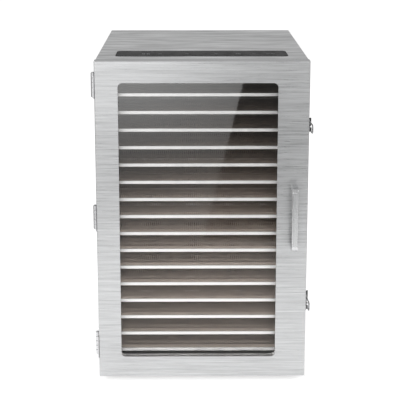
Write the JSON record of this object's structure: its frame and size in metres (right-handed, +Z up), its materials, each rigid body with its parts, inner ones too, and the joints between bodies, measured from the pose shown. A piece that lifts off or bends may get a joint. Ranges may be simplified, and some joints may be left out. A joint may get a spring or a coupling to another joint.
{
  "type": "food dehydrator",
  "caption": "Upright stainless steel cabinet food dehydrator with a glazed side-hinged door, toggle latches, bow handle, touch panel on top and a stack of sliding wire trays.",
  "frame": {"origin": "on the ground, under the middle of the overall box that the door, handle, hinges and latches make", "axes": "+Z up, +X to the right seen from the front, -Y out of the door"},
  "size_m": [0.4562, 0.5855, 0.6846],
  "materials": {
    "brushed_stainless": "horizontal brushed grain",
    "liner_steel": "plain mill finish",
    "polished_steel": "polished",
    "hinge_steel": "satin",
    "tray_wire": "bright woven wire",
    "window_glass": "clear",
    "black_touch_glass": "gloss black",
    "black_rubber": "matte",
    "grey_silicone": "matte",
    "black_plastic": "moulded",
    "circuit_board": "lacquered",
    "motor_steel": "satin",
    "heater_sheath": "heat tinted"
  },
  "bodies": {
    "root": {"side_panel_left": "brushed_stainless", "side_panel_right": "brushed_stainless", "top_panel": "brushed_stainless", "back_panel": "brushed_stainless", "base_pan": "liner_steel", "front_frame": "brushed_stainless", "tray_rack_left": "liner_steel", "tray_rack_right": "liner_steel", "air_baffle": "liner_steel", "ceiling_liner": "liner_steel", "plenum_wall": "liner_steel", "control_panel_glass": "black_touch_glass", "control_board": "circuit_board", "temperature_probe": "polished_steel", "heater_element": "heater_sheath", "fan_motor": "motor_steel", "motor_bracket": "liner_steel", "power_inlet": "black_plastic", "foot_front_left": "black_rubber", "foot_front_right": "black_rubber", "foot_rear_left": "black_rubber", "foot_rear_right": "black_rubber", "hinge_leaf_cabinet_1": "hinge_steel", "hinge_leaf_cabinet_2": "hinge_steel", "hinge_leaf_cabinet_3": "hinge_steel", "latch_base_lower": "polished_steel", "latch_base_upper": "polished_steel"},
    "door": {"door_panel": "brushed_stainless", "door_inner_frame": "liner_steel", "window_seal": "black_rubber", "door_glass": "window_glass", "door_gasket": "grey_silicone", "door_handle": "polished_steel", "hinge_leaf_door_1": "hinge_steel", "hinge_leaf_door_2": "hinge_steel", "hinge_leaf_door_3": "hinge_steel", "latch_keeper_lower": "polished_steel", "latch_keeper_upper": "polished_steel"},
    "fan": {"fan_wheel": "liner_steel"},
    "latch_lever_lower": {"latch_lever_lower": "polished_steel"},
    "latch_bail_lower": {"latch_bail_lower": "polished_steel"},
    "latch_lever_upper": {"latch_lever_upper": "polished_steel"},
    "latch_bail_upper": {"latch_bail_upper": "polished_steel"},
    "tray_01": {"tray_01": "tray_wire"},
    "tray_02": {"tray_02": "tray_wire"},
    "tray_03": {"tray_03": "tray_wire"},
    "tray_04": {"tray_04": "tray_wire"},
    "tray_05": {"tray_05": "tray_wire"},
    "tray_06": {"tray_06": "tray_wire"},
    "tray_07": {"tray_07": "tray_wire"},
    "tray_08": {"tray_08": "tray_wire"},
    "tray_09": {"tray_09": "tray_wire"},
    "tray_10": {"tray_10": "tray_wire"},
    "tray_11": {"tray_11": "tray_wire"},
    "tray_12": {"tray_12": "tray_wire"},
    "tray_13": {"tray_13": "tray_wire"},
    "tray_14": {"tray_14": "tray_wire"},
    "tray_15": {"tray_15": "tray_wire"},
    "tray_16": {"tray_16": "tray_wire"},
    "drip_tray": {"drip_tray": "liner_steel"}
  },
  "joints": [
    {"name": "door_hinge", "type": "hinge", "parent": "root", "child": "door", "pos_m": [-0.2215, -0.23, 0.3545], "axis": [0, 0, -1], "range_deg": [0, 180]},
    {"name": "fan_spin", "type": "hinge", "parent": "root", "child": "fan", "pos_m": [0, 0.2075, 0.3375], "axis": [0, 1, 0], "continuous": true},
    {"name": "latch_lower_lever", "type": "hinge", "parent": "root", "child": "latch_lever_lower", "pos_m": [0.222, -0.206, 0.162], "axis": [0, 0, -1], "range_deg": [0, 120]},
    {"name": "latch_lower_bail", "type": "hinge", "parent": "latch_lever_lower", "child": "latch_bail_lower", "pos_m": [0.222, -0.192, 0.162], "axis": [0, 0, 1], "range_deg": [0, 130]},
    {"name": "latch_upper_lever", "type": "hinge", "parent": "root", "child": "latch_lever_upper", "pos_m": [0.222, -0.206, 0.542], "axis": [0, 0, -1], "range_deg": [0, 120]},
    {"name": "latch_upper_bail", "type": "hinge", "parent": "latch_lever_upper", "child": "latch_bail_upper", "pos_m": [0.222, -0.192, 0.542], "axis": [0, 0, 1], "range_deg": [0, 130]},
    {"name": "tray_01_slide", "type": "slide", "parent": "root", "child": "tray_01", "axis": [0, -1, 0], "range_m": [0, 0.01]},
    {"name": "tray_02_slide", "type": "slide", "parent": "root", "child": "tray_02", "axis": [0, -1, 0], "range_m": [0, 0.01]},
    {"name": "tray_03_slide", "type": "slide", "parent": "root", "child": "tray_03", "axis": [0, -1, 0], "range_m": [0, 0.01]},
    {"name": "tray_04_slide", "type": "slide", "parent": "root", "child": "tray_04", "axis": [0, -1, 0], "range_m": [0, 0.01]},
    {"name": "tray_05_slide", "type": "slide", "parent": "root", "child": "tray_05", "axis": [0, -1, 0], "range_m": [0, 0.01]},
    {"name": "tray_06_slide", "type": "slide", "parent": "root", "child": "tray_06", "axis": [0, -1, 0], "range_m": [0, 0.01]},
    {"name": "tray_07_slide", "type": "slide", "parent": "root", "child": "tray_07", "axis": [0, -1, 0], "range_m": [0, 0.01]},
    {"name": "tray_08_slide", "type": "slide", "parent": "root", "child": "tray_08", "axis": [0, -1, 0], "range_m": [0, 0.01]},
    {"name": "tray_09_slide", "type": "slide", "parent": "root", "child": "tray_09", "axis": [0, -1, 0], "range_m": [0, 0.01]},
    {"name": "tray_10_slide", "type": "slide", "parent": "root", "child": "tray_10", "axis": [0, -1, 0], "range_m": [0, 0.01]},
    {"name": "tray_11_slide", "type": "slide", "parent": "root", "child": "tray_11", "axis": [0, -1, 0], "range_m": [0, 0.01]},
    {"name": "tray_12_slide", "type": "slide", "parent": "root", "child": "tray_12", "axis": [0, -1, 0], "range_m": [0, 0.01]},
    {"name": "tray_13_slide", "type": "slide", "parent": "root", "child": "tray_13", "axis": [0, -1, 0], "range_m": [0, 0.01]},
    {"name": "tray_14_slide", "type": "slide", "parent": "root", "child": "tray_14", "axis": [0, -1, 0], "range_m": [0, 0.01]},
    {"name": "tray_15_slide", "type": "slide", "parent": "root", "child": "tray_15", "axis": [0, -1, 0], "range_m": [0, 0.01]},
    {"name": "tray_16_slide", "type": "slide", "parent": "root", "child": "tray_16", "axis": [0, -1, 0], "range_m": [0, 0.01]},
    {"name": "drip_tray_slide", "type": "slide", "parent": "root", "child": "drip_tray", "axis": [0, -1, 0], "range_m": [0, 0.01]}
  ],
  "couplings": [
    {"joint": "latch_lower_bail", "follows": "latch_lower_lever", "ratio": 1},
    {"joint": "latch_upper_bail", "follows": "latch_upper_lever", "ratio": 1}
  ]
}
